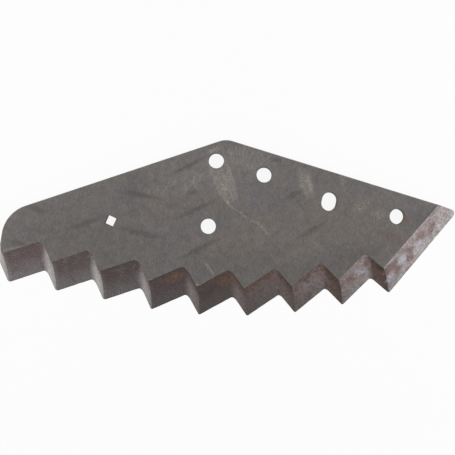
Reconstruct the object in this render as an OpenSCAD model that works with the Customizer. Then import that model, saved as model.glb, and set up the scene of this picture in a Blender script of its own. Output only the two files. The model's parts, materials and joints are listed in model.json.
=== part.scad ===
// Feed mixer knife: one thick steel plate with a stepped saw edge, bolted flat to the flight of an auger.
// The underside lies on z = 0, the milled flanks face up, and the origin is the centre of the main bolt
// hole at the underside. The heel is at -X, the point at +X, the back edges at +Y and the teeth at -Y.

/* [Plate] */
// Thickness of the plate
plate_t = 10; // [8:0.5:14]
// Where the two back edges would meet, along X from the main bolt hole
apex_x = 20.3; // [10:0.1:30]
// Where the two back edges would meet, along Y from the main bolt hole
apex_y = 99.6; // [97:0.1:110]
// Slope of the back edge on the heel side, in degrees
heel_back_slope = 18.4; // [16:0.1:20]
// Slope of the back edge on the point side, in degrees
point_back_slope = 17.2; // [15:0.1:19]
// Distance from the main bolt hole to the heel edge, along X
heel_reach = 234.3; // [226:0.1:238]
// Lean of the heel edge from square, in degrees
heel_lean = 8.5; // [4:0.5:10]
// Corner radius at the apex
apex_r = 24; // [10:1:40]
// Corner radius at the heel
heel_r = 40; // [20:1:42]
// Corner radius at the point
point_r = 5; // [2:0.5:8]

/* [Saw edge] */
// Notches in the straight row, with the one that the heel edge cuts off
straight_notches = 4; // [4:1:5]
// Notches in the turning row
turned_notches = 5; // [4:1:6]
// Distance from notch to notch along the straight row
tooth_pitch = 55.7; // [54:0.1:58]
// Fall of the straight row, in degrees
row_fall = 10.6; // [9:0.1:12]
// Radius of the arc that the roots of the turning row lie on
turn_r = 582; // [560:1:620]
// Turn from notch to notch in the turning row, in degrees
turn_step = 5.25; // [4.9:0.05:5.6]
// Root of the first notch, along X from the main bolt hole
first_notch_x = -241.3; // [-245:0.1:-238]
// Root of the first notch, along Y from the main bolt hole
first_notch_y = -39.9; // [-46:0.1:-36]
// Slope of the long flanks in the straight row, in degrees
long_slope = 18.25; // [16:0.25:21]
// Slope of the short flanks in the straight row, in degrees
short_slope = 66.5; // [62:0.5:70]
// Blunt land left on the tooth tips and on the point edge
edge_land = 0.8; // [0.4:0.1:1.5]

/* [Milled flanks] */
// How far the flanks of the straight row run back over the thickness of the plate
bevel_run = 34.4; // [28:0.1:38]
// How much shorter that run gets with each notch of the turning row
bevel_run_loss = 1.1; // [0:0.1:1.6]
// Lean of the run towards the heel, in degrees
bevel_lean = 3.5; // [0:0.5:6]
// How much further the run leans with each notch of the turning row, in degrees
bevel_lean_step = 2.7; // [1.5:0.1:3.5]
// Radius of the cutter, which stays in the notch roots
cutter_r = 10; // [5:0.5:14]

/* [Bolt holes] */
// Diameter of the round bolt holes
bolt_d = 17.5; // [13:0.5:20]
// Apex bolt hole, along X from the main bolt hole
apex_hole_x = 9.3; // [0:0.1:30]
// Apex bolt hole, along Y from the main bolt hole
apex_hole_y = 74.9; // [65:0.1:78]
// Shoulder bolt hole, along X from the main bolt hole
shoulder_hole_x = 64; // [55:0.1:75]
// Shoulder bolt hole, along Y from the main bolt hole
shoulder_hole_y = 58.7; // [50:0.1:65]
// Point bolt hole, along X from the main bolt hole
point_hole_x = 215.8; // [205:0.1:220]
// Point bolt hole, along Y from the main bolt hole
point_hole_y = 11.2; // [8:0.1:20]

/* [Adjusting slot] */
// Middle of the slot, along X from the main bolt hole
slot_x = 138.3; // [120:0.1:150]
// Middle of the slot, along Y from the main bolt hole
slot_y = 28.3; // [20:0.1:35]
// Width of the slot
slot_w = 17.5; // [13:0.5:20]
// Length of the slot from end to end
slot_l = 21.3; // [20.5:0.1:30]
// Lean of the slot from Y towards the point, in degrees
slot_lean = 12; // [0:1:25]

/* [Square hole] */
// Middle of the square hole, along X from the main bolt hole
square_x = -111.5; // [-130:0.1:-90]
// Middle of the square hole, along Y from the main bolt hole
square_y = 6.3; // [0:0.1:15]
// Side of the square hole
square_side = 10.5; // [8:0.5:14]
// Turn of the square hole, clockwise, in degrees
square_turn = 24.5; // [0:0.5:45]

/* [Hidden] */
// How far each cut runs past the faces that it opens
over = 2;
// Facets of the round holes and corners where they are drawn as facets
$fn = 96;

last_straight = straight_notches - 1;
point_edge = straight_notches + turned_notches;
// How far a cut reaches past its own notch, and how far the cutter travels to clear the plate both ways
cut_reach = bevel_run + tooth_pitch;
cutter_travel = 2 * (cut_reach + bevel_run + plate_t);

function unit(v) = v / norm(v);
function heading(a) = [cos(a), sin(a)];
function turned(v, a) = [v.x * cos(a) - v.y * sin(a), v.x * sin(a) + v.y * cos(a)];
// Crossing of the line through p along u with the line through q along v
function meet(p, u, q, v) = p + u * cross(q - p, v) / cross(u, v);

// Notch n counts from the heel. The last number is the point edge, which has a long flank only.
function turns(n) = max(0, n - last_straight);
function row_place(n) = [first_notch_x, first_notch_y] + n * tooth_pitch * heading(-row_fall);
turn_centre = row_place(last_straight) + turn_r * heading(90 - row_fall);
function notch_root(n) = n <= last_straight
    ? row_place(n)
    : turn_centre + turned(row_place(last_straight) - turn_centre, turn_step * turns(n));
function long_way(n) = heading(long_slope + turn_step * turns(n));
function short_way(n) = heading(turn_step * turns(n) - short_slope);
function run(n) = bevel_run - bevel_run_loss * turns(n);
function lean(n) = bevel_lean + bevel_lean_step * turns(n);
function rise(n) = atan2(plate_t, run(n));

// Tooth n stands between notches n - 1 and n, and its tip loses the land
function sharp_tip(n) = meet(notch_root(n - 1), short_way(n - 1), notch_root(n), long_way(n));
function tip(n) = sharp_tip(n) - edge_land * unit(short_way(n - 1) - long_way(n));

// Corners of the plate before the teeth are cut, anticlockwise from the apex
apex = [apex_x, apex_y];
heel = [-heel_reach, 0];
heel_way = heading(-90 - heel_lean);
heel_corner = meet(heel, heel_way, apex, heading(180 + heel_back_slope));
heel_foot = meet(heel, heel_way, tip(1), heading(180 - row_fall));
point_corner = meet(tip(point_edge), long_way(point_edge), apex, heading(-point_back_slope));
corners = [apex, heel_corner, heel_foot, for (n = [1 : point_edge]) tip(n), point_corner];
radii = [apex_r, heel_r, 0, for (n = [1 : point_edge]) 0, point_r];

// A rounded corner at v, between its neighbours: two tangent points and the middle of the arc
function half_angle(v, before, after) = acos(unit(before - v) * unit(after - v)) / 2;
function on_side(v, neighbour, half, r) = v + unit(neighbour - v) * r / tan(half);
function arc_middle(v, before, after, half, r) =
    v + unit(unit(before - v) + unit(after - v)) * r / sin(half);

module rounded_outline(points, radii) {
    count = len(points);
    before = [for (i = [0 : count - 1]) points[(i + count - 1) % count]];
    after = [for (i = [0 : count - 1]) points[(i + 1) % count]];
    half = [for (i = [0 : count - 1]) half_angle(points[i], before[i], after[i])];
    polygon([
        for (i = [0 : count - 1])
            each radii[i] == 0
                ? [points[i]]
                : [
                    on_side(points[i], before[i], half[i], radii[i]),
                    on_side(points[i], after[i], half[i], radii[i])
                ]
    ]);
    for (i = [0 : count - 1])
        if (radii[i] > 0)
            translate(arc_middle(points[i], before[i], after[i], half[i], radii[i])) circle(r = radii[i]);
}

// The cutter travels along a line that climbs through the plate, leaning towards the heel.
// Its section is drawn square to that line, where lengths along the run are shortened by its rise.
module along_cutter(n) {
    translate([notch_root(n).x, notch_root(n).y, 0])
        rotate([rise(n) - 90, 0, lean(n)])
            linear_extrude(height = cutter_travel, center = true)
                children();
}

function in_section(way, n) = let (v = turned(way, -lean(n))) [v.x, v.y * sin(rise(n))];
function out_of_plate(n) = [0, -cut_reach * sin(rise(n))];

module notch_cut(n) {
    long_side = in_section(-long_way(n), n) * cut_reach;
    short_side = in_section(short_way(n), n) * cut_reach;
    away = out_of_plate(n);
    half = half_angle([0, 0], long_side, short_side);
    along_cutter(n) {
        polygon([
            on_side([0, 0], long_side, half, cutter_r),
            long_side,
            long_side + away,
            short_side + away,
            short_side,
            on_side([0, 0], short_side, half, cutter_r)
        ]);
        translate(arc_middle([0, 0], long_side, short_side, half, cutter_r)) circle(r = cutter_r);
    }
}

module point_cut() {
    edge_way = in_section(long_way(point_edge), point_edge);
    to_point = edge_way * (norm(point_corner - notch_root(point_edge)) + cut_reach);
    to_heel = -edge_way * cut_reach;
    away = out_of_plate(point_edge);
    along_cutter(point_edge) polygon([to_point, to_heel, to_heel + away, to_point + away]);
}

module through(x, y) {
    translate([x, y, -over]) linear_extrude(height = plate_t + 2 * over) children();
}

module slot_outline() {
    middles = slot_l - slot_w;
    for (side = [-1, 1]) translate([0, side * middles / 2]) circle(d = slot_w);
    square([slot_w, middles], center = true);
}

module knife_blade() {
    color("#6e6a69")
    difference() {
        linear_extrude(height = plate_t) rounded_outline(corners, radii);
        for (n = [0 : point_edge - 1]) notch_cut(n);
        point_cut();
        through(0, 0) circle(d = bolt_d);
        through(apex_hole_x, apex_hole_y) circle(d = bolt_d);
        through(shoulder_hole_x, shoulder_hole_y) circle(d = bolt_d);
        through(point_hole_x, point_hole_y) circle(d = bolt_d);
        through(slot_x, slot_y) rotate(-slot_lean) slot_outline();
        through(square_x, square_y) rotate(-square_turn) square(square_side, center = true);
    }
}

knife_blade();
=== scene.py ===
import json
import math

import bmesh
import bpy
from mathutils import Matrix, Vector, noise


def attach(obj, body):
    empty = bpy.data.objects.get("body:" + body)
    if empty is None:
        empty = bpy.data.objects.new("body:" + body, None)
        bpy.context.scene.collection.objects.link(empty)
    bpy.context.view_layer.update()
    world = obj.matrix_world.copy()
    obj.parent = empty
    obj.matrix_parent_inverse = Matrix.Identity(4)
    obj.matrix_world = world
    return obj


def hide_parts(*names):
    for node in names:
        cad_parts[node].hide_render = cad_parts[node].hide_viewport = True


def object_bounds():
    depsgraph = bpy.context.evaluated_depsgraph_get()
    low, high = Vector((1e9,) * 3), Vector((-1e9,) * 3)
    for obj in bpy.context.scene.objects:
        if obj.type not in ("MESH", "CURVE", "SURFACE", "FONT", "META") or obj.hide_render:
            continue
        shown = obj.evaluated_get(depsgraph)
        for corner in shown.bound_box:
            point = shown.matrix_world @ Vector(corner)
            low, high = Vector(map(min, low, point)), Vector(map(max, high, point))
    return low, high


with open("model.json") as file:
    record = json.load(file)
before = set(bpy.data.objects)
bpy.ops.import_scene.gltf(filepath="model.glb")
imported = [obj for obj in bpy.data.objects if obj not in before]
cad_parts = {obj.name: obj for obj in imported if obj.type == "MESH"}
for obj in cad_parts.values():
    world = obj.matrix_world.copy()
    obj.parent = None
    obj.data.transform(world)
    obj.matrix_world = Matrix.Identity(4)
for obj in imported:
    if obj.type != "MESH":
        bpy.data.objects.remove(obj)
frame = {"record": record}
cad_low, cad_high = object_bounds()

# The saw edge
# A slanting cutter milled each notch through the steel plate, and left a long flank, a short flank and
# its own radius in the root. The last long flank is the straight edge that runs out to the point. Wear
# has blunted the tips and nibbled the cutting edges, and hollow short flanks make the crests bow.
MM = 0.001
PLATE_T = cad_high.z - cad_low.z
TOOTH_PITCH = 55.7 * MM
ROW_FALL = 10.6
TURN_R = 582 * MM
TURN_STEP = 5.25
FIRST_NOTCH = Vector((-241.3, -39.9)) * MM
LAST_STRAIGHT = 3
POINT_EDGE = 9
LONG_SLOPE = 18.25
SHORT_SLOPE = 66.5
BEVEL_RUN = 34.4 * MM
BEVEL_RUN_LOSS = 1.1 * MM
BEVEL_LEAN = 3.5
BEVEL_LEAN_STEP = 2.7
CUTTER_R = 10 * MM
TIP_LAND = 0.8 * MM
HEEL = Vector((-234.3, 0)) * MM
HEEL_LEAN = 8.5
APEX = Vector((20.3, 99.6)) * MM
POINT_BACK_SLOPE = 17.2
POINT_R = 5 * MM
# Wear and small forms that the solid leaves out
CUTTER_TOP_R = 16 * MM
CREST_R = 2.2 * MM
HEEL_TIP_R = 3.8 * MM
HEEL_TIP_SHARE = 0.2
CREST_BOW = 1.3 * MM
HEEL_CREST_SHIFT = 2.7 * MM
POINT_CREST_SHIFT = 1.2 * MM
STRAIGHT_SPREAD = -0.9 * MM
TURNED_SPREAD = 1.5 * MM
EDGE_LAND = 0.25 * MM
EDGE_WEAR = 0.35 * MM
NIBBLE = 7 * MM
NIBBLE_LAYER = 3.1
# How finely the flanks are meshed
STEPS = 56
LONG_COLUMNS = 72
ROOT_COLUMNS = 14
SHORT_COLUMNS = 18
CREST_COLUMNS = 8
CREST_FADE_COLUMNS = 7


def heading(degrees):
    return Vector((math.cos(math.radians(degrees)), math.sin(math.radians(degrees))))


def turned(v, degrees):
    way = heading(degrees)
    return Vector((v.x * way.x - v.y * way.y, v.x * way.y + v.y * way.x))


def cross(a, b):
    return a.x * b.y - a.y * b.x


def meet(p, u, q, v):
    # Crossing of the line through p along u with the line through q along v
    return p + u * (cross(q - p, v) / cross(u, v))


def walk(start, end, count):
    return [start.lerp(end, i / count) for i in range(count + 1)]


def rounded(corner, before, after, radius, count):
    # Spots along the arc that rounds a corner between its two neighbours
    half = (before - corner).angle(after - corner) / 2
    inward = ((before - corner).normalized() + (after - corner).normalized()).normalized()
    middle = corner + inward * (radius / math.sin(half))
    start = corner + (before - corner).normalized() * (radius / math.tan(half)) - middle
    sweep = math.copysign(180 - 2 * math.degrees(half), cross(corner - before, after - corner))
    return [middle + turned(start, sweep * i / count) for i in range(count + 1)]


class Notch:
    # One notch, counted from the heel. The last number is the point edge, which has a long flank only.
    def __init__(self, number):
        turns = max(0, number - LAST_STRAIGHT)
        self.turn = TURN_STEP * turns
        self.root = FIRST_NOTCH + heading(-ROW_FALL) * TOOTH_PITCH * min(number, LAST_STRAIGHT)
        if turns:
            middle = self.root + heading(90 - ROW_FALL) * TURN_R
            self.root = middle + turned(self.root - middle, self.turn)
        self.long_way = heading(LONG_SLOPE + self.turn)
        self.short_way = heading(self.turn - SHORT_SLOPE)
        self.lean = BEVEL_LEAN + BEVEL_LEAN_STEP * turns
        self.run = heading(90 + self.lean) * (BEVEL_RUN - BEVEL_RUN_LOSS * turns)
        # The cutter is round in the section square to its path, where lengths along the run are shorter
        self.rise = math.sin(math.atan2(PLATE_T, self.run.length))
        # At the face, short flanks keep back a little in the straight row and spread in the turning row
        if number:
            self.run = self.run + self.long_way * (TURNED_SPREAD if turns else STRAIGHT_SPREAD)

    def in_section(self, v):
        flat = turned(v, -self.lean)
        return Vector((flat.x, flat.y * self.rise))

    def root_curve(self, height):
        radius = CUTTER_R + (CUTTER_TOP_R - CUTTER_R) * height
        long_side = self.in_section(-self.long_way)
        short_side = self.in_section(self.short_way)
        curve = rounded(Vector((0, 0)), long_side, short_side, radius, ROOT_COLUMNS)
        foot = self.root + self.run * height
        return [foot + turned(Vector((v.x, v.y / self.rise)), self.lean) for v in curve]


notches = [Notch(number) for number in range(POINT_EDGE + 1)]
notches[0].tip = notches[0].root - notches[0].long_way * TOOTH_PITCH
for before, notch in zip(notches, notches[1:]):
    notch.tip = meet(before.root, before.short_way, notch.root, notch.long_way)
    top, before_top = notch.root + notch.run, before.root + before.run
    notch.crest = meet(before_top, before.short_way, top, notch.long_way)
notches[1].crest -= notches[1].long_way * HEEL_CREST_SHIFT
point = notches[POINT_EDGE]
point.crest -= notches[-2].short_way * POINT_CREST_SHIFT
heel_way = heading(-90 - HEEL_LEAN)
back_way = heading(180 - POINT_BACK_SLOPE)
point_blunt = point.tip - (notches[-2].short_way - point.long_way).normalized() * TIP_LAND
point_land = cross(point.long_way, point_blunt - point.tip) / cross(point.long_way, point.run)
point_corner = meet(point_blunt, point.long_way, APEX, back_way)
point_curve = rounded(point_corner, point_blunt, APEX, POINT_R, 1)
point_middle = point_curve[0] + turned(point.long_way, 90) * POINT_R


def heel_end(height):
    return meet(HEEL, heel_way, notches[0].root + notches[0].run * height, notches[0].short_way)


def point_end(height):
    # The straight edge ends on the point's round corner, or past it, on the back edge
    start = point.root + point.run * max(point_land, height)
    off = start - point_middle
    along = off.dot(point.long_way)
    reach = math.sqrt(max(0, along**2 - off.length_squared + POINT_R**2)) - along
    on_curve = start + point.long_way * reach
    if (on_curve - point_curve[1]).dot(back_way) < 0:
        return on_curve
    return meet(start, point.long_way, APEX, back_way)


def crest_curve(number, height):
    # A crest bows most at half its height, and the first tips are worn rounder than the rest
    notch = notches[number]
    bow = CREST_BOW * 4 * height * (1 - height)
    corner = notch.tip.lerp(notch.crest, height) + notch.long_way * bow
    blunt = max(0, 1 - height / HEEL_TIP_SHARE) if number <= LAST_STRAIGHT else 0
    radius = CREST_R + (HEEL_TIP_R - CREST_R) * blunt
    before = corner - notches[number - 1].short_way
    return rounded(corner, before, corner + notch.long_way, radius, CREST_COLUMNS)


def saw_line(height):
    # One line along the saw at a share of the plate's thickness. Each spot comes with its notch and its
    # place across it: -1 at the first crest, 0 on the long flank, 1 where the root ends and 2 at the
    # next crest.
    spots = [(heel_end(height), 0, 1)]
    for number, notch in enumerate(notches):
        root = notch.root_curve(height)
        if number:
            crest = crest_curve(number, height)
            spots += [(spot, number - 1, 2) for spot in crest[: CREST_COLUMNS // 2]]
            spots += [(spot, number, -1) for spot in crest[CREST_COLUMNS // 2 :]]
            end = root[0] if number < POINT_EDGE else point_end(height)
            long_line = list(enumerate(walk(crest[-1], end, LONG_COLUMNS)))[1:-1]
            spots += [(spot, number, min(0, j / CREST_FADE_COLUMNS - 1)) for j, spot in long_line]
            if number == POINT_EDGE:
                return spots + [(end, number, 0)]
            spots += [(spot, number, j / ROOT_COLUMNS) for j, spot in enumerate(root)]
        start = root[-1] if number else heel_end(height)
        end = crest_curve(number + 1, height)[0]
        short_line = list(enumerate(walk(start, end, SHORT_COLUMNS)))[1:-1]
        spots += [(spot, number, 1 + j / SHORT_COLUMNS) for j, spot in short_line]


levels = [(0, 0)]
for i in range(STEPS + 1):
    levels.append((EDGE_LAND + (PLATE_T - EDGE_LAND) * i / STEPS, i / STEPS))
shape = bmesh.new()
SKIN, FLANK, BORE = range(3)
saw = []
for z, height in levels:
    row = []
    for spot, number, across in saw_line(height):
        rough = noise.noise((spot.x / NIBBLE, spot.y / NIBBLE, NIBBLE_LAYER))
        nibble = max(0, rough) * EDGE_WEAR * (1 - height) ** 3
        spot = spot + notches[number].run.normalized() * nibble
        row.append(shape.verts.new((spot.x, spot.y, z)))
    saw.append(row)


def skin(left, right, material):
    # Faces between two upright rows of corners. Where one row is a corner shorter, the last face is a
    # triangle.
    made = []
    for j in range(max(len(left), len(right)) - 1):
        made.append(shape.faces.new(left[j : j + 2] + right[j : j + 2][::-1]))
        made[-1].material_index = material
    return made


# The milled steel reads these from the mesh: the place from the notch's tip, in mm, with the height as a
# share of the plate's thickness, the notch as a share of all notches, and the place across the notch
cut_place = shape.loops.layers.float_vector.new("cut_place")
notch_share = shape.loops.layers.float.new("notch_share")
across_notch = shape.loops.layers.float.new("across_notch")
saw_posts = list(zip(*saw))
tags = [(number, across) for spot, number, across in saw_line(0)]
for i, (number, across) in enumerate(tags[:-1]):
    notch = notches[number]
    next_number, next_across = tags[i + 1]
    if next_number != number:
        next_across = across
    for face in skin(list(saw_posts[i]), list(saw_posts[i + 1]), FLANK):
        for loop in face.loops:
            local = turned(loop.vert.co.to_2d() - notch.tip, -notch.turn) / MM
            loop[cut_place] = (local.x, local.y, loop.vert.co.z / PLATE_T)
            loop[notch_share] = number / POINT_EDGE
            loop[across_notch] = across if loop.vert in saw_posts[i] else next_across

# The plate
# Hot-rolled steel plate, flame cut along two back edges that meet at a rounded apex, with a large round
# heel. Its rims are broken by deburring. At the heel and at the point its wall ends on the flanks.
HEEL_BACK_SLOPE = 18.4
# A millimetre over the solid's radius, which keeps the mesh inside the solid's box
APEX_R = 25 * MM
HEEL_R = 40 * MM
RIM_BREAK = 0.8 * MM
WALL_STEP = 6 * MM
APEX_COLUMNS = 13
HEEL_COLUMNS = 28


def post(spot, heights, inward, rim):
    # An upright row of corners on a wall, drawn in at both ends along a round rim
    made = []
    for z in heights:
        depth = max(0, rim - min(z, PLATE_T - z))
        inset = rim - math.sqrt(max(0, rim**2 - depth**2))
        made.append(shape.verts.new((*(spot + inward * inset), z)))
    return made


# At each end of the saw, rows of corners that grow one by one fill the wall beneath the flank
wall_heights = [z for z, height in levels]
end_posts = []
for end in (saw_posts[-1], saw_posts[0]):
    posts = [list(end[:2])]
    for i in range(2, len(end)):
        foot = [shape.verts.new((end[i].co.x, end[i].co.y, z)) for z in wall_heights[:i]]
        posts.append(foot + [end[i]])
    for left, right in zip(posts, posts[1:]):
        skin(left, right, SKIN)
    end_posts.append(posts[-1])

back_start = point_end(1)
back_end = heel_end(1)
heel_corner = meet(HEEL, heel_way, APEX, heading(180 + HEEL_BACK_SLOPE))
apex_curve = rounded(APEX, back_start, heel_corner, APEX_R, APEX_COLUMNS)
heel_curve = rounded(heel_corner, APEX, back_end, HEEL_R, HEEL_COLUMNS)
outline = [back_start]
for corner in (*apex_curve, *heel_curve, back_end):
    count = max(1, round((corner - outline[-1]).length / WALL_STEP))
    outline += walk(outline[-1], corner, count)[1:]
posts = [end_posts[0]]
for before, spot, after in zip(outline, outline[1:], outline[2:]):
    posts.append(post(spot, wall_heights, turned((after - before).normalized(), 90), RIM_BREAK))
posts.append(end_posts[1])
for left, right in zip(posts, posts[1:]):
    skin(left, right, SKIN)

# The holes
# Drilled bolt holes, a short slot and a square hole for the neck of a carriage bolt. Each rim is broken
# less than the plate's, and the square's corners keep a small radius. They stand where the record's
# mounts say.
HOLE_POINTS = 72
HOLE_RIM = 0.3 * MM
RIM_ROWS = 4
SLOT_W = 17.5 * MM
SLOT_L = 21.3 * MM
SLOT_LEAN = 12
SQUARE_SIDE = 10.5 * MM
SQUARE_TURN = 24.5
SQUARE_R = 0.8 * MM
SQUARE_COLUMNS = 5
rim_heights = [HOLE_RIM * i / RIM_ROWS for i in range(RIM_ROWS + 1)]
hole_heights = rim_heights + [PLATE_T - z for z in reversed(rim_heights)]
slot_half = Vector((0, (SLOT_L - SLOT_W) / 2))
square_corners = []
for i in range(4):
    square_corners.append(turned(Vector((1, 1)) * SQUARE_SIDE / 2, -90 * i - SQUARE_TURN))
for mount in frame["record"]["mounts"]:
    rim = []
    if mount["kind"] == "bore":
        radius = mount["dims"]["r_mm"] * MM
        rim = [heading(-360 * i / HOLE_POINTS) * radius for i in range(HOLE_POINTS)]
    elif mount["name"] == "adjusting_slot":
        for end in (1, -1):
            for i in range(HOLE_POINTS // 2 + 1):
                spot = end * (slot_half + heading(180 - 360 * i / HOLE_POINTS) * SLOT_W / 2)
                rim.append(turned(spot, -SLOT_LEAN))
    elif mount["name"] == "square_hole":
        for i, corner in enumerate(square_corners):
            before, after = square_corners[i - 1], square_corners[(i + 1) % 4]
            rim += rounded(corner, before, after, SQUARE_R, SQUARE_COLUMNS)
    middle = Vector(mount["pos_m"]).to_2d()
    posts = []
    for i, spot in enumerate(rim):
        inward = turned((rim[(i + 1) % len(rim)] - rim[i - 1]).normalized(), 90)
        posts.append(post(middle + spot, hole_heights, inward, HOLE_RIM))
    for left, right in zip(posts, posts[1:] + posts[:1]):
        skin(left, right, BORE)

# The face and the underside close the plate between its outline and the holes. Edges stay sharp where
# two finishes meet, around the flat faces, and where the plate turns by more than the sharp angle.
SAME_SPOT = 0.002 * MM
FLAT = 0.9999
SHARP_ANGLE = 40
for z in (0, PLATE_T):
    rims = []
    for edge in shape.edges:
        if edge.is_boundary and all(abs(v.co.z - z) < SAME_SPOT for v in edge.verts):
            rims.append(edge)
    bmesh.ops.triangle_fill(shape, edges=rims, use_beauty=True, normal=(0, 0, 1))
bmesh.ops.remove_doubles(shape, verts=shape.verts, dist=SAME_SPOT)
bmesh.ops.recalc_face_normals(shape, faces=shape.faces)
for edge in shape.edges:
    finishes = {face.material_index for face in edge.link_faces}
    flats = {abs(face.normal.z) > FLAT for face in edge.link_faces}
    gentle = edge.calc_face_angle(0) < math.radians(SHARP_ANGLE)
    edge.smooth = len(finishes) == 1 and len(flats) == 1 and gentle
mesh = bpy.data.meshes.new("blade")
shape.to_mesh(mesh)
shape.free()
blade = bpy.data.objects.new("blade", mesh)
bpy.context.collection.objects.link(blade)

# Hot-rolled mill scale
# A dull grey oxide skin on the face, the underside and the flame-cut wall. It is cloudy, warm in places
# and bluish in others, brushed with fine scratches that run across the knife, and marked with dark rubs
# and pale, sandy smears. The wall has the flame's upright lines, and its rims are pale from wear and
# painted highlight.
CLOUD = 38 * MM
BLOOM = 9 * MM
# Specks, scratches and flame lines are finer than this on the steel, and are drawn as coarse as shows
SPECK = 1.6 * MM
SCRATCH = (1.3 * MM, 4 * MM, 4 * MM)
SCRATCH_TURN = (0, 0, -0.12)
SCRATCH_DEPTH = 0.05 * MM
PIT_DEPTH = 0.08 * MM
HAIR = (1.1 * MM, 18 * MM, 4 * MM)
HAIR_TURN = (0, 0, -0.55)
FAN_MIDDLE = Vector((36, 48, 0)) * MM
FAN_R = 35 * MM
FAN_LINE = 1.7 * MM
FLAME_LINE = (1.3 * MM, 1.3 * MM, 30 * MM)
FLAME_DEPTH = 0.25 * MM
SCALE_RAGGED = 5 * MM
SCALE_RAGGED_BY = 7 * MM
# A noise node's values lie mostly between the first two of these, about the middle
NOISE_LOW = 0.3
NOISE_HIGH = 0.7
NOISE_MIDDLE = (0.5, 0.5, 0.5)
# A mark keeps off the underside, or goes all the way through the plate
SHALLOW = PLATE_T * 0.8
THROUGH = 1


def linear(hex_colour):
    parts = [int(hex_colour[i : i + 2], 16) / 255 for i in (1, 3, 5)]
    return [part / 12.92 if part <= 0.04045 else ((part + 0.055) / 1.055) ** 2.4 for part in parts] + [1]


def add(tree, kind, inputs, out=0, stops=(), **settings):
    # Adds a node with its settings, its values and links by socket, and a ramp's stops; gives one output
    made = tree.nodes.new("ShaderNode" + kind)
    for name, value in settings.items():
        setattr(made, name, value)
    for socket, value in inputs.items():
        if isinstance(value, bpy.types.NodeSocket):
            tree.links.new(value, made.inputs[socket])
        else:
            made.inputs[socket].default_value = value
    for i, (position, colour) in enumerate(stops):
        stop = made.color_ramp.elements[i] if i < 2 else made.color_ramp.elements.new(1)
        stop.position = position
        stop.color = linear(colour) if isinstance(colour, str) else (colour, colour, colour, 1)
    return made.outputs[out]


def stain(tree, under, colour, place, strokes, most, reach=0.7, grit=None, depth=SHALLOW):
    # Soft marks of one colour over what is under them. Each stroke goes from one end to the other, with
    # its width, all in mm, and fades from its middle line over the reach. Grit breaks it up.
    whole = 0
    for x1, y1, x2, y2, width in strokes:
        start = Vector((x1, y1, 0)) * MM
        end = Vector((x2, y2, 0)) * MM
        inside = {"Vector": place, "Location": (start + end) / 2 + Vector((0, 0, PLATE_T))}
        inside["Rotation"] = (0, 0, math.atan2(y2 - y1, x2 - x1))
        inside["Scale"] = ((end - start).length / 2 + width * MM / 2, width * MM / 2, depth)
        inside = add(tree, "Mapping", inside, vector_type="TEXTURE")
        mark = add(tree, "TexGradient", {"Vector": inside}, out="Fac", gradient_type="SPHERICAL")
        whole = add(tree, "Math", {0: whole, 1: mark}, operation="MAXIMUM")
    if grit is not None:
        most = add(tree, "MapRange", {0: grit, 1: NOISE_LOW, 2: NOISE_HIGH, 3: 0, 4: most})
    amount = {0: whole, 1: 0, 2: reach, 3: 0, 4: most}
    amount = add(tree, "MapRange", amount, interpolation_type="SMOOTHSTEP")
    return add(tree, "Mix", {0: amount, 6: under, 7: linear(colour)}, out=2, data_type="RGBA")


scale_skin = bpy.data.materials.new("hot_rolled_mill_scale")
scale_skin.use_nodes = True
tree = scale_skin.node_tree
shader = tree.nodes["Principled BSDF"]
shader.inputs["Metallic"].default_value = 0.15
place = add(tree, "TexCoord", {}, out="Object")
ragged = {"Vector": place, "Scale": 1 / SCALE_RAGGED, "Detail": 3, "Roughness": 0.7}
ragged = add(tree, "TexNoise", ragged, out="Color")
ragged = add(tree, "VectorMath", {0: ragged, 1: NOISE_MIDDLE}, operation="SUBTRACT")
ragged = add(tree, "VectorMath", {0: ragged, "Scale": SCALE_RAGGED_BY}, operation="SCALE")
rough_place = add(tree, "VectorMath", {0: place, 1: ragged}, operation="ADD")
cloud = add(tree, "TexNoise", {"Vector": place, "Scale": 1 / CLOUD, "Detail": 5, "Roughness": 0.6})
speck = add(tree, "TexNoise", {"Vector": place, "Scale": 1 / SPECK, "Detail": 2, "Roughness": 0.6})
bloom = add(tree, "TexNoise", {"Vector": place, "Scale": 1 / BLOOM, "Detail": 3, "Roughness": 0.6})
scratch = {"Vector": place, "Scale": SCRATCH, "Rotation": SCRATCH_TURN}
scratch = add(tree, "Mapping", scratch, vector_type="TEXTURE")
scratch = add(tree, "TexNoise", {"Vector": scratch, "Scale": 1, "Detail": 3, "Roughness": 0.7})
clouds = [(0.3, "#646161"), (0.5, "#686361"), (0.72, "#6d6760")]
scale = add(tree, "ValToRGB", {"Fac": cloud}, stops=clouds)
# Lighter towards the apex, and darker along the lower part and by the teeth
scale = stain(tree, scale, "#777371", place, [(-60, 60, 75, 70, 90)], most=0.55, reach=0.9)
scale = stain(tree, scale, "#6a635a", place, [(110, 15, 215, -8, 76)], most=0.6, reach=0.8)
lower = [
    (-212, -12, -64, -30, 100),
    (-205, -42, -60, -64, 55),
    (-40, -54, 110, -46, 80),
    (95, -52, 190, -28, 50),
]
scale = stain(tree, scale, "#5d5957", place, lower, most=0.62, reach=0.8)
by_teeth = [(70, -60, 140, -52, 44), (130, -54, 204, -24, 44)]
scale = stain(tree, scale, "#54504e", place, by_teeth, most=0.4, reach=0.8)
bluish = [(262, 25, 236, -3, 13), (-90, 10, -80, 60, 40)]
scale = stain(tree, scale, "#5b5b5f", place, bluish, most=0.4)
scale = stain(tree, scale, "#67676a", place, [(42, 46, 62, 24, 34)], most=0.5, reach=0.9)
reddish = [(198, -9, 224, -17, 20), (-224, -20.5, -208, -20, 8)]
scale = stain(tree, scale, "#5f4d4b", place, reddish, most=0.4)
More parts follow.
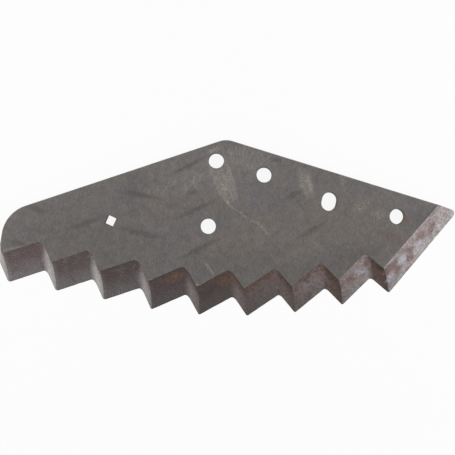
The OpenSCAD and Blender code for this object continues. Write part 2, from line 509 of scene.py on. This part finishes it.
rubs = [
    (-50, 55, 6, 84, 8),
    (-44, 5, 17, 34, 8),
    (-43, -42, 22, -9, 8),
    (88, 31, 108, 41, 9),
    (98, -16, 136, 6, 9),
    (-164, -5, -116, 12, 10),
    (-107, 41, -50, 31, 10),
    (-106, -1, -46, -15, 10),
    (-214, 24, -178, 15, 10),
    (-226, -17, -209, -20, 8),
    (-19, 38, -14, 39, 9),
    (71, 77, 82, 75, 9),
]
scale = stain(tree, scale, "#413d3e", rough_place, rubs, most=0.95, reach=0.75, grit=speck)
smears = [
    (-1, 74, 21, 28, 10),
    (5, 70, 26, 24, 11),
    (14, 66, 30, 27, 11),
    (18, 82, 34, 27, 9),
    (2, 84, 11, 89, 9),
]
soft_smears = smears + [(108, 59, 116, 38, 20)]
scale = stain(tree, scale, "#857f78", place, soft_smears, most=0.42)
scale = stain(tree, scale, "#958d83", rough_place, smears, most=0.6, grit=speck)
faint_smears = [
    (106, 60, 115, 40, 22),
    (170, 22, 180, 24, 15),
    (188, 13, 201, 13, 13),
    (153, 56, 155, 46, 13),
]
scale = stain(tree, scale, "#8a847a", rough_place, faint_smears, most=0.75, reach=0.75, grit=speck)
sand_lines = [
    (16, 50, 19, 40, 6),
    (17, 33.5, 29, 20, 5),
    (27, 22.5, 51, 6, 3.5),
    (50, 7, 59, 2, 5.5),
    (59, 2, 71, -12, 3.5),
    (-5, -38, 7, -57, 5),
    (114, 58, 118, 40, 5),
    (2, 85, 9, 89, 5),
    (-69, -63, -62, -61, 5),
    (-16, -69, -9, -67, 5),
]
scale = stain(tree, scale, "#9b9389", rough_place, sand_lines, most=0.7, reach=0.65, grit=speck)
# Long hair scratches below the apex hole, at its left, and a fan of them at its right
hair = {"Vector": place, "Scale": HAIR, "Rotation": HAIR_TURN}
hair = add(tree, "Mapping", hair, vector_type="TEXTURE")
hair = add(tree, "TexNoise", {"Vector": hair, "Scale": 1, "Detail": 2, "Distortion": 0.4})
hair = add(tree, "MapRange", {0: hair, 1: 0.5, 2: 0.7, 3: NOISE_LOW, 4: NOISE_HIGH})
scale = stain(tree, scale, "#8b867f", place, [(-60, 40, -10, 55, 30)], most=0.65, grit=hair)
fan = add(tree, "VectorMath", {0: place, 1: FAN_MIDDLE}, operation="SUBTRACT")
fan_x = add(tree, "SeparateXYZ", {0: fan}, out="X")
fan_y = add(tree, "SeparateXYZ", {0: fan}, out="Y")
fan = add(tree, "Math", {0: fan_y, 1: fan_x}, operation="ARCTAN2")
fan = {"W": fan, "Scale": FAN_R / FAN_LINE, "Detail": 2}
fan = add(tree, "TexNoise", fan, noise_dimensions="1D")
fan = add(tree, "MapRange", {0: fan, 1: 0.45, 2: 0.7, 3: NOISE_LOW, 4: NOISE_HIGH})
scale = stain(tree, scale, "#928d87", place, [(24, 82, 66, 74, 34)], most=0.5, reach=0.6, grit=fan)
# Paler at the heel, darker along the point edge, and a rust spot by the point's hole
scale = stain(tree, scale, "#938d88", place, [(-239, -6, -238, -28, 9)], most=0.5)
scale = stain(tree, scale, "#938d88", place, [(-240, -28.5, -208, -22, 4)], most=0.25)
scale = stain(tree, scale, "#4d4b4d", place, [(266, 28, 236, -6, 9)], most=0.65, reach=0.8)
scale = stain(tree, scale, "#565250", place, [(248, 20, 226, -2, 24)], most=0.5, reach=0.8)
rust_spot = [(222.5, 13, 224.5, 5, 11)]
scale = stain(tree, scale, "#6e4c38", rough_place, rust_spot, most=1, reach=0.6, grit=bloom)
brushed = add(tree, "MapRange", {0: scratch, 1: NOISE_LOW, 2: NOISE_HIGH, 3: 0.77, 4: 1.23})
flecked = add(tree, "MapRange", {0: speck, 1: NOISE_LOW, 2: NOISE_HIGH, 3: 0.83, 4: 1.17})
bloomed = add(tree, "MapRange", {0: bloom, 1: NOISE_LOW, 2: NOISE_HIGH, 3: 0.88, 4: 1.12})
shade = add(tree, "Math", {0: brushed, 1: flecked}, operation="MULTIPLY")
shade = add(tree, "Math", {0: shade, 1: bloomed}, operation="MULTIPLY")
scale = add(tree, "VectorMath", {0: scale, "Scale": shade}, operation="SCALE")
# The flame left upright lines on the plate's wall, and the broken rims are pale from handling wear and
# from painted highlight
normal = add(tree, "NewGeometry", {}, out="Normal")
level = add(tree, "SeparateXYZ", {0: normal}, out="Z")
level = add(tree, "Math", {0: level}, operation="ABSOLUTE")
flame = add(tree, "Mapping", {"Vector": place, "Scale": FLAME_LINE}, vector_type="TEXTURE")
flame = add(tree, "TexNoise", {"Vector": flame, "Scale": 1, "Detail": 2})
flame_cut = add(tree, "ValToRGB", {"Fac": flame}, stops=[(0.35, "#46413f"), (0.65, "#635d59")])
on_wall = add(tree, "MapRange", {0: level, 1: 0.2, 2: 0.5, 3: 1, 4: 0})
scale = add(tree, "Mix", {0: on_wall, 6: scale, 7: flame_cut}, out=2, data_type="RGBA")
on_rim = add(tree, "MapRange", {0: level, 1: 0.1, 2: 0.5, 3: 0, 4: 1})
rim_wear_and_sheen = add(tree, "MapRange", {0: bloom, 1: 0.35, 2: 0.6, 3: 0.3, 4: 0.9})
rim_wear_and_sheen = add(tree, "Math", {0: rim_wear_and_sheen, 1: on_rim}, operation="MULTIPLY")
rim_wear_and_sheen = add(tree, "MapRange", {0: level, 1: 0.9, 2: 0.995, 3: rim_wear_and_sheen, 4: 0})
scale = add(tree, "Mix", {0: rim_wear_and_sheen, 6: scale, 7: linear("#99948f")}, out=2, data_type="RGBA")
tree.links.new(scale, shader.inputs["Base Color"])
gloss = add(tree, "MapRange", {0: scratch, 1: NOISE_LOW, 2: NOISE_HIGH, 3: 0.42, 4: 0.6})
tree.links.new(gloss, shader.inputs["Roughness"])
bump = add(tree, "Bump", {"Height": scratch, "Distance": SCRATCH_DEPTH, "Strength": 0.5})
bump = add(tree, "Bump", {"Height": speck, "Distance": PIT_DEPTH, "Strength": 0.4, "Normal": bump})
flame = add(tree, "Math", {0: flame, 1: on_wall}, operation="MULTIPLY")
bump = add(tree, "Bump", {"Height": flame, "Distance": FLAME_DEPTH, "Strength": 0.6, "Normal": bump})
tree.links.new(bump, shader.inputs["Normal"])

# Milled steel
# Bare steel left by the cutter: bright where it is fresh, browned where it has rusted, and lined with
# the arcs that the cutter's teeth swept. From heel to point the flanks go from grey through rusty brown
# to a flaked, mottled grey and pink. Near the heel, painted highlight brightens the short flanks and
# painted shade darkens the long ones.
MOTTLE = 11 * MM
FINE = 2.2 * MM
GRIT_DEPTH = 0.1 * MM
GRANULE = 4.2 * MM
VEIN = 8 * MM
STEEL_RAGGED = 3.5 * MM
STEEL_RAGGED_BY = 9 * MM
# The cutter's marks are about a millimetre apart on the steel, and are drawn as coarse as shows. These
# three are in mm, as the place from the notch's tip is.
CUTTER_MARK = 3.4
ARC_MIDDLE = (4, 8, 0)
LONG_FLANK_L = 45
# The wave node makes ten rings in a length of pi
ARC_SCALE = math.pi / 10 / CUTTER_MARK
ARC_DEPTH = 0.06 * MM
# Colours and shares by notch, from heel to point, of flanks near the face and near the cutting edge
# Near the heel the short flanks' light colours hold painted highlight, and the long flanks' dark ones
# painted shade
LONG_HIGH = [(1, "#5f5253"), (3, "#4c4240"), (5, "#423937"), (7, "#6a6060"), (9, "#8b8484")]
LONG_LOW = [(1, "#726c6c"), (3, "#605b5b"), (4, "#4f4747"), (5, "#494241")]
LONG_LOW += [(7, "#5c5452"), (9, "#928e90")]
SHORT_HIGH = [(0, "#aaa5a5"), (1, "#a29a9a"), (3, "#7c7373"), (4, "#4d4545")]
SHORT_HIGH += [(5, "#484042"), (8, "#382d28")]
SHORT_LOW = [(1, "#9f9b9b"), (2, "#9f9b9a"), (3, "#8c8686"), (4, "#6e6564")]
SHORT_LOW += [(5, "#625956"), (7, "#544640")]
ARC_SHARE = [(3, 1), (5, 0.4), (8, 0)]
RUST_SHARE = [(0, 0), (2, 0.12), (5, 0.26), (7, 0.26), (8, 0.1)]
# Shares of painted shade, mixed with dirt, along the tops of the flanks under the face
LONG_TOP_DARK = [(2, 0.1), (4, 0.4), (7, 0)]
SHORT_TOP_DARK = [(2, 0), (5, 0.45), (8, 0.8)]
milled = bpy.data.materials.new("milled_steel")
milled.use_nodes = True
tree = milled.node_tree
shader = tree.nodes["Principled BSDF"]
place = add(tree, "TexCoord", {}, out="Object")
cut = add(tree, "Attribute", {}, out="Vector", attribute_name="cut_place")
number = add(tree, "Attribute", {}, out="Fac", attribute_name="notch_share")
across = add(tree, "Attribute", {}, out="Fac", attribute_name="across_notch")
along = add(tree, "SeparateXYZ", {0: cut}, out="X")
height = add(tree, "SeparateXYZ", {0: cut}, out="Z")
half_across = add(tree, "MapRange", {0: across, 2: 2})
root_start = add(tree, "MapRange", {0: height, 1: 0.4, 2: 0.9, 3: 0, 4: 0.45})
short = {0: across, 1: root_start, 2: 1.1}
short = add(tree, "MapRange", short, interpolation_type="SMOOTHSTEP")
by_notch = []
colours = (LONG_HIGH, LONG_LOW, SHORT_HIGH, SHORT_LOW)
for values in (*colours, ARC_SHARE, RUST_SHARE, LONG_TOP_DARK, SHORT_TOP_DARK):
    stops = [(i / POINT_EDGE, value) for i, value in values]
    by_notch.append(add(tree, "ValToRGB", {"Fac": number}, stops=stops))
long_high, long_low, short_high, short_low, arc_share, rust_share, long_dark, short_dark = by_notch
mottle = add(tree, "TexNoise", {"Vector": place, "Scale": 1 / MOTTLE, "Detail": 6, "Roughness": 0.65})
fine = add(tree, "TexNoise", {"Vector": place, "Scale": 1 / FINE, "Detail": 4, "Roughness": 0.7})
climb = add(tree, "MapRange", {0: height, 1: 0.1, 2: 0.75}, interpolation_type="SMOOTHSTEP")
long = add(tree, "Mix", {0: climb, 6: long_low, 7: long_high}, out=2, data_type="RGBA")
# Near the heel, red tarnish and bluish steel cloud the long flanks, under the cutter's arcs
near_heel = add(tree, "MapRange", {0: number, 1: 0.35, 2: 0.5, 3: 0.5, 4: 0})
tarnish = add(tree, "MapRange", {0: mottle, 1: 0.5, 2: 0.68, 3: 0, 4: near_heel})
long = add(tree, "Mix", {0: tarnish, 6: long, 7: linear("#523f3e")}, out=2, data_type="RGBA")
polish = add(tree, "MapRange", {0: mottle, 1: 0.47, 2: 0.32, 3: 0, 4: near_heel})
long = add(tree, "Mix", {0: polish, 6: long, 7: linear("#727177")}, out=2, data_type="RGBA")
arcs = add(tree, "VectorMath", {0: cut, 1: (1, 1, 0)}, operation="MULTIPLY")
arcs = add(tree, "VectorMath", {0: arcs, 1: ARC_MIDDLE}, operation="SUBTRACT")
arcs = {"Vector": arcs, "Scale": ARC_SCALE, "Distortion": 8, "Detail": 3, "Detail Scale": 0.3}
arcs = add(tree, "TexWave", arcs, out="Fac", wave_type="RINGS", rings_direction="Z")
arcs = add(tree, "Math", {0: arcs, 1: arc_share}, operation="MULTIPLY")
patchy = add(tree, "MapRange", {0: mottle, 1: 0.35, 2: 0.62, 3: 1.3, 4: 0.4})
arcs = add(tree, "Math", {0: arcs, 1: patchy}, operation="MULTIPLY")
arc_shade = add(tree, "MapRange", {0: arcs, 3: 1.1, 4: 0.85})
long = add(tree, "VectorMath", {0: long, "Scale": arc_shade}, operation="SCALE")
# Near the point the long flanks are worn brighter away from their tips
near_point = add(tree, "MapRange", {0: number, 1: 0.5, 2: 0.78})
worn = add(tree, "MapRange", {0: along, 1: 0, 2: LONG_FLANK_L, 3: 0.8, 4: 1.16})
worn = add(tree, "Mix", {0: near_point, 2: 1, 3: worn}, data_type="FLOAT")
long = add(tree, "VectorMath", {0: long, "Scale": worn}, operation="SCALE")
# Painted light: the short flanks are brightest beside the root, a painted highlight, and a little of
# their lit colour runs over the rounded crests as painted sheen
climb = add(tree, "MapRange", {0: height, 1: 0.45, 2: 1}, interpolation_type="SMOOTHSTEP")
short_colour = add(tree, "Mix", {0: climb, 6: short_low, 7: short_high}, out=2, data_type="RGBA")
short_and_crest_sheen = add(tree, "MapRange", {0: across, 1: -1, 2: 0, 3: 0.15, 4: 0})
short_and_crest_sheen = add(tree, "Math", {0: short, 1: short_and_crest_sheen}, operation="MAXIMUM")
steel = add(tree, "Mix", {0: short_and_crest_sheen, 6: long, 7: short_colour}, out=2, data_type="RGBA")
# Painted highlight on the short flanks beside the root, and painted shade towards the next crest
painted_light_band = [(0, 1.0), (0.3, 1.0), (0.55, 1.12), (0.75, 1.02), (1, 0.82)]
painted_light_band = add(tree, "ValToRGB", {"Fac": half_across}, stops=painted_light_band)
steel = add(tree, "VectorMath", {0: steel, 1: painted_light_band}, operation="MULTIPLY")
# Rust gathers under the face, most on the middle flanks
near_top = add(tree, "MapRange", {0: height, 1: 0.6, 2: 1, 3: 0, 4: 0.3})
rust = add(tree, "Math", {0: mottle, 1: near_top}, operation="ADD")
rust = add(tree, "Math", {0: rust, 1: rust_share}, operation="ADD")
rust = {0: rust, 1: 0.78, 2: 1.1, 3: 0, 4: 0.8}
rust = add(tree, "MapRange", rust, interpolation_type="SMOOTHSTEP")
rust_colour = add(tree, "ValToRGB", {"Fac": fine}, stops=[(0.35, "#402f2b"), (0.62, "#60473b")])
steel = add(tree, "Mix", {0: rust, 6: steel, 7: rust_colour}, out=2, data_type="RGBA")
# Pink veins and granules near the point, on the long flanks only
pink = add(tree, "MapRange", {0: number, 1: 0.75, 2: 0.88, 3: 0, 4: 0.55})
pink = add(tree, "MapRange", {0: short, 3: pink, 4: 0})
vein = {"Vector": place, "Scale": 1 / VEIN, "Detail": 4, "Roughness": 0.65, "Distortion": 1.2}
vein = add(tree, "TexNoise", vein)
vein = add(tree, "Math", {0: vein, 1: 0.5}, operation="SUBTRACT")
vein = add(tree, "Math", {0: vein}, operation="ABSOLUTE")
vein = add(tree, "MapRange", {0: vein, 1: 0.01, 2: 0.06, 3: pink, 4: 0})
steel = add(tree, "Mix", {0: vein, 6: steel, 7: linear("#6a5b59")}, out=2, data_type="RGBA")
granule = {"Vector": place, "Scale": 1 / GRANULE, "Detail": 5, "Roughness": 0.8}
granule = add(tree, "TexNoise", granule)
granular = add(tree, "Math", {0: granule, 1: 1.5, 2: mottle}, operation="MULTIPLY_ADD")
pink = add(tree, "MapRange", {0: granular, 1: 1.22, 2: 1.36, 3: 0, 4: pink})
steel = add(tree, "Mix", {0: pink, 6: steel, 7: linear("#776864")}, out=2, data_type="RGBA")
# Single patches of rust, dirt and bare steel
ragged = {"Vector": place, "Scale": 1 / STEEL_RAGGED, "Detail": 5, "Roughness": 0.75}
ragged = add(tree, "TexNoise", ragged, out="Color")
ragged = add(tree, "VectorMath", {0: ragged, 1: NOISE_MIDDLE}, operation="SUBTRACT")
ragged = add(tree, "VectorMath", {0: ragged, "Scale": STEEL_RAGGED_BY}, operation="SCALE")
rough_place = add(tree, "VectorMath", {0: place, 1: ragged}, operation="ADD")
rust_patches = [
    (-48, -63, -29, -55, 15),
    (15, -66, 30, -57, 15),
    (49, -78, 52, -66, 11),
    (69, -63, 76, -56, 11),
    (83, -66, 88, -58, 10),
    (97, -78, 106, -69, 10),
    (122, -57, 134, -46, 14),
]
steel = stain(
    tree, steel, "#674b3d", rough_place, rust_patches, most=0.75, reach=0.65, grit=fine, depth=THROUGH
)
dark_patch = [(-9, -77, 8, -68, 12)]
steel = stain(tree, steel, "#3a3133", rough_place, dark_patch, most=0.5, depth=THROUGH)
short_rust = [(136, -52, 150, -68, 9), (187, -45, 203, -63, 8)]
steel = stain(
    tree, steel, "#543c33", rough_place, short_rust, most=0.8, reach=0.6, grit=fine, depth=THROUGH
)
brown_blots = [
    (241, -14, 245, -8, 11),
    (254, -7, 258, 3, 10),
    (229, -31, 232, -26, 11),
    (228, -38, 234, -35, 11),
    (210, -46, 216, -40, 10),
    (202, -53, 209, -46, 11),
    (216, -51, 220, -45, 9),
    (161, -61, 169, -56, 11),
    (180, -44, 184, -35, 11),
]
steel = stain(
    tree, steel, "#6c524b", rough_place, brown_blots, most=1.25, reach=0.5, grit=fine, depth=THROUGH
)
edge_wear = [(268, -5, 239, -37, 8)]
steel = stain(tree, steel, "#8f918e", rough_place, edge_wear, most=0.55, reach=0.8, depth=THROUGH)
bare_patches = [
    (238, -26, 243, -18, 14),
    (220, -41, 226, -33, 15),
    (206, -63, 211, -56, 11),
    (170, -56, 178, -49, 12),
]
steel = stain(
    tree, steel, "#a5a5ae", rough_place, bare_patches, most=1.2, reach=0.8, grit=granule, depth=THROUGH
)
# Painted shade mixed with dirt along the tops of the flanks under the face, a painted highlight along
# the top of the point edge, and painted shade along the cutting edge
top_shade_and_dirt = add(tree, "Mix", {0: short, 6: long_dark, 7: short_dark}, out=2, data_type="RGBA")
top_shade_and_dirt = {0: height, 1: 0.8, 2: 0.97, 3: 0, 4: top_shade_and_dirt}
top_shade_and_dirt = add(tree, "MapRange", top_shade_and_dirt, interpolation_type="SMOOTHSTEP")
steel = add(tree, "Mix", {0: top_shade_and_dirt, 6: steel, 7: linear("#332a28")}, out=2, data_type="RGBA")
# Painted highlight along the top of the point edge
painted_top_highlight = add(tree, "MapRange", {0: number, 1: 0.85, 2: 0.95, 3: 0, 4: 0.35})
painted_top_highlight = add(tree, "MapRange", {0: height, 1: 0.9, 2: 0.97, 3: 0, 4: painted_top_highlight})
steel = add(tree, "Mix", {0: painted_top_highlight, 6: steel, 7: linear("#b3a9a7")}, out=2, data_type="RGBA")
# Painted shade along the cutting edge
painted_edge_shade = add(tree, "MapRange", {0: height, 1: 0, 2: 0.07, 3: 0.7, 4: 0})
steel = add(tree, "Mix", {0: painted_edge_shade, 6: steel, 7: linear("#3d3536")}, out=2, data_type="RGBA")
flaked = add(tree, "MapRange", {0: granule, 1: 0.35, 2: 0.65, 3: 0.66, 4: 1.34})
flaked = add(tree, "Mix", {0: near_point, 2: 1, 3: flaked}, data_type="FLOAT")
steel = add(tree, "VectorMath", {0: steel, "Scale": flaked}, operation="SCALE")
gritty = add(tree, "MapRange", {0: fine, 1: NOISE_LOW, 2: NOISE_HIGH, 3: 0.74, 4: 1.26})
steel = add(tree, "VectorMath", {0: steel, "Scale": gritty}, operation="SCALE")
tree.links.new(steel, shader.inputs["Base Color"])
metal = add(tree, "MapRange", {0: rust, 1: 0, 2: 0.85, 3: 0.6, 4: 0})
tree.links.new(metal, shader.inputs["Metallic"])
gloss = add(tree, "MapRange", {0: rust, 1: 0, 2: 0.85, 3: 0.42, 4: 0.8})
tree.links.new(gloss, shader.inputs["Roughness"])
bump = add(tree, "Bump", {"Height": arcs, "Distance": ARC_DEPTH, "Strength": 0.5})
bump = add(tree, "Bump", {"Height": fine, "Distance": GRIT_DEPTH, "Strength": 0.4, "Normal": bump})
tree.links.new(bump, shader.inputs["Normal"])

# Drilled steel
# The walls of the holes, cut through the plate: dark with old oil and dirt, and with painted shade for
# the shadow inside the holes, with faint rings from the drill. The wall of the hole by the point has
# rusted on the side towards the point.
RING = (30 * MM, 30 * MM, 0.5 * MM)
RING_DEPTH = 0.05 * MM
drilled = bpy.data.materials.new("drilled_steel_and_shade")
drilled.use_nodes = True
tree = drilled.node_tree
shader = tree.nodes["Principled BSDF"]
shader.inputs["Metallic"].default_value = 0.3
shader.inputs["Roughness"].default_value = 0.6
place = add(tree, "TexCoord", {}, out="Object")
rings = add(tree, "Mapping", {"Vector": place, "Scale": RING}, vector_type="TEXTURE")
rings = add(tree, "TexNoise", {"Vector": rings, "Scale": 1, "Detail": 2})
# Painted shade: the walls' dark colours also stand in for the shadow inside the holes
bore = add(tree, "ValToRGB", {"Fac": rings}, stops=[(0.35, "#332f2d"), (0.65, "#4f4945")])
wall_rust = [(224.4, 14, 225.2, 4, 9)]
bore = stain(tree, bore, "#6a4a38", place, wall_rust, most=0.9, reach=0.6, depth=THROUGH)
tree.links.new(bore, shader.inputs["Base Color"])
bump = add(tree, "Bump", {"Height": rings, "Distance": RING_DEPTH, "Strength": 0.5})
tree.links.new(bump, shader.inputs["Normal"])

blade.data.materials.append(scale_skin)
blade.data.materials.append(milled)
blade.data.materials.append(drilled)
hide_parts("knife_blade")
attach(blade, "root")

# The floor
# A plain white table that the knife lies on. The camera and reflections see most of it as plain white,
# and the rest of its colour takes the light, which keeps the knife's shadow.
FLOOR_HALF = 3
WHITE_SHARE = 0.9
floor_corners = []
for x, y in ((-1, -1), (1, -1), (1, 1), (-1, 1)):
    floor_corners.append((x * FLOOR_HALF, y * FLOOR_HALF, 0))
floor_mesh = bpy.data.meshes.new("floor")
floor_mesh.from_pydata(floor_corners, [], [(0, 1, 2, 3)])
floor = bpy.data.objects.new("floor", floor_mesh)
bpy.context.collection.objects.link(floor)
white_table = bpy.data.materials.new("white_table")
white_table.use_nodes = True
tree = white_table.node_tree
shader = tree.nodes["Principled BSDF"]
shader.inputs["Base Color"].default_value = linear("#ffffff")
shader.inputs["Roughness"].default_value = 0.9
seen = add(tree, "LightPath", {}, out="Is Camera Ray")
for kind in ("Is Glossy Ray", "Is Transmission Ray"):
    ray = add(tree, "LightPath", {}, out=kind)
    seen = add(tree, "Math", {0: seen, 1: ray}, operation="MAXIMUM")
seen = add(tree, "Math", {0: seen, 1: WHITE_SHARE}, operation="MULTIPLY")
plain = add(tree, "Emission", {"Color": linear("#ffffff"), "Strength": 1})
white = add(tree, "MixShader", {0: seen, 1: shader.outputs[0], 2: plain})
tree.links.new(white, tree.nodes["Material Output"].inputs["Surface"])
floor_mesh.materials.append(white_table)

# The light
# A large soft lamp at the left and one at the right, in a white room that fills in between them. The
# camera and reflections see the room as plain white, and its own light on the knife is weaker.
ROOM_FILL = 0.42
LAMP_WIDE = 1.2
LAMP_TALL = 1.0
LAMP_POWER = 8.5
LAMP_OUT = 1.2
LAMP_BACK = 0.2
LAMP_UP = 0.7
room = bpy.data.worlds.new("room")
bpy.context.scene.world = room
room.use_nodes = True
tree = room.node_tree
fill = tree.nodes["Background"]
fill.inputs["Color"].default_value = linear("#ffffff")
fill.inputs["Strength"].default_value = ROOM_FILL
seen = add(tree, "LightPath", {}, out="Is Camera Ray")
for kind in ("Is Glossy Ray", "Is Transmission Ray"):
    ray = add(tree, "LightPath", {}, out=kind)
    seen = add(tree, "Math", {0: seen, 1: ray}, operation="MAXIMUM")
backdrop = add(tree, "Background", {"Color": linear("#ffffff"), "Strength": 1})
white = add(tree, "MixShader", {0: seen, 1: fill.outputs[0], 2: backdrop})
tree.links.new(white, tree.nodes["World Output"].inputs["Surface"])
for name, side in (("left_lamp", -1), ("right_lamp", 1)):
    lamp = bpy.data.lights.new(name, "AREA")
    lamp.shape = "RECTANGLE"
    lamp.size = LAMP_WIDE
    lamp.size_y = LAMP_TALL
    lamp.energy = LAMP_POWER
    lamp_object = bpy.data.objects.new(name, lamp)
    lamp_object.location = (side * LAMP_OUT, LAMP_BACK, LAMP_UP)
    lamp_object.rotation_euler = (-lamp_object.location).to_track_quat("-Z", "Y").to_euler()
    bpy.context.collection.objects.link(lamp_object)

# The camera
# It looks straight down on the knife from a little under 0.8 m. Its height comes from how far the walls
# show in the holes, and its lens from the size of the holes in the picture.
CAMERA_PLACE = Vector((22.116, -1.368, 787.4)) * MM
CAMERA_LENS = 53.96
CAMERA_SENSOR = 36
camera = bpy.data.cameras.new("camera")
camera.sensor_width = CAMERA_SENSOR
camera.lens = CAMERA_LENS
camera_object = bpy.data.objects.new("camera", camera)
camera_object.location = CAMERA_PLACE
bpy.context.collection.objects.link(camera_object)
bpy.context.scene.camera = camera_object
bpy.context.scene.view_settings.view_transform = "Standard"
